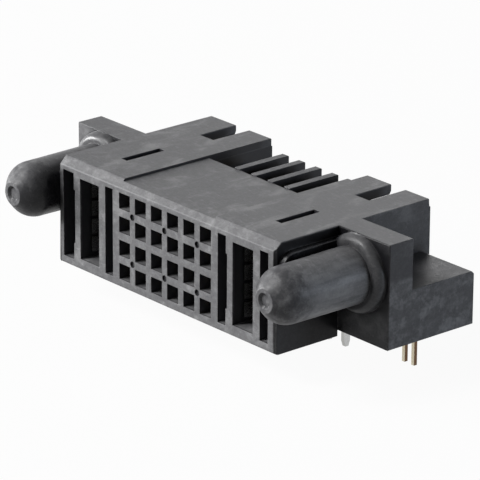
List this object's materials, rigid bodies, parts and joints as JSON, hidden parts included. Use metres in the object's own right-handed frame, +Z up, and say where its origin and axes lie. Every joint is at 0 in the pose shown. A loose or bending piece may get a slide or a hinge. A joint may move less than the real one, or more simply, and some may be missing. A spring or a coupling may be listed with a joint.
{
  "type": "right-angle power and signal receptacle",
  "caption": "Right-angle, board-mount receptacle with a power section at each end, a block of square signal openings between them and a guide post on each side.",
  "frame": {"origin": "On the mating face, at mid-width, at the height of the circuit board's surface.", "axes": "+X to the right of someone who looks at the mating face, +Y back from the mating face over the board, +Z up from the board."},
  "size_m": [0.0486, 0.0244, 0.0149],
  "materials": {
    "black_plastic": "fine matt moulding grain, lightly scuffed",
    "gold_plating": "smooth gold plating on copper alloy",
    "tin_plating": "satin tin plating on copper alloy",
    "board_lock_brass": "plain stamped brass with lightly tinned legs"
  },
  "bodies": {
    "root": {"housing": "black_plastic", "signal_contact_1_1": "gold_plating", "signal_contact_1_2": "gold_plating", "signal_contact_1_3": "gold_plating", "signal_contact_1_4": "gold_plating", "signal_contact_1_5": "gold_plating", "signal_contact_1_6": "gold_plating", "signal_contact_2_1": "gold_plating", "signal_contact_2_2": "gold_plating", "signal_contact_2_3": "gold_plating", "signal_contact_2_4": "gold_plating", "signal_contact_2_5": "gold_plating", "signal_contact_2_6": "gold_plating", "signal_contact_3_1": "gold_plating", "signal_contact_3_2": "gold_plating", "signal_contact_3_3": "gold_plating", "signal_contact_3_4": "gold_plating", "signal_contact_3_5": "gold_plating", "signal_contact_3_6": "gold_plating", "signal_contact_4_1": "gold_plating", "signal_contact_4_2": "gold_plating", "signal_contact_4_3": "gold_plating", "signal_contact_4_4": "gold_plating", "signal_contact_4_5": "gold_plating", "signal_contact_4_6": "gold_plating", "power_contact_left_a": "tin_plating", "power_contact_left_b": "tin_plating", "power_contact_right_a": "tin_plating", "power_contact_right_b": "tin_plating", "board_lock_left": "board_lock_brass", "board_lock_right": "board_lock_brass"}
  },
  "joints": []
}
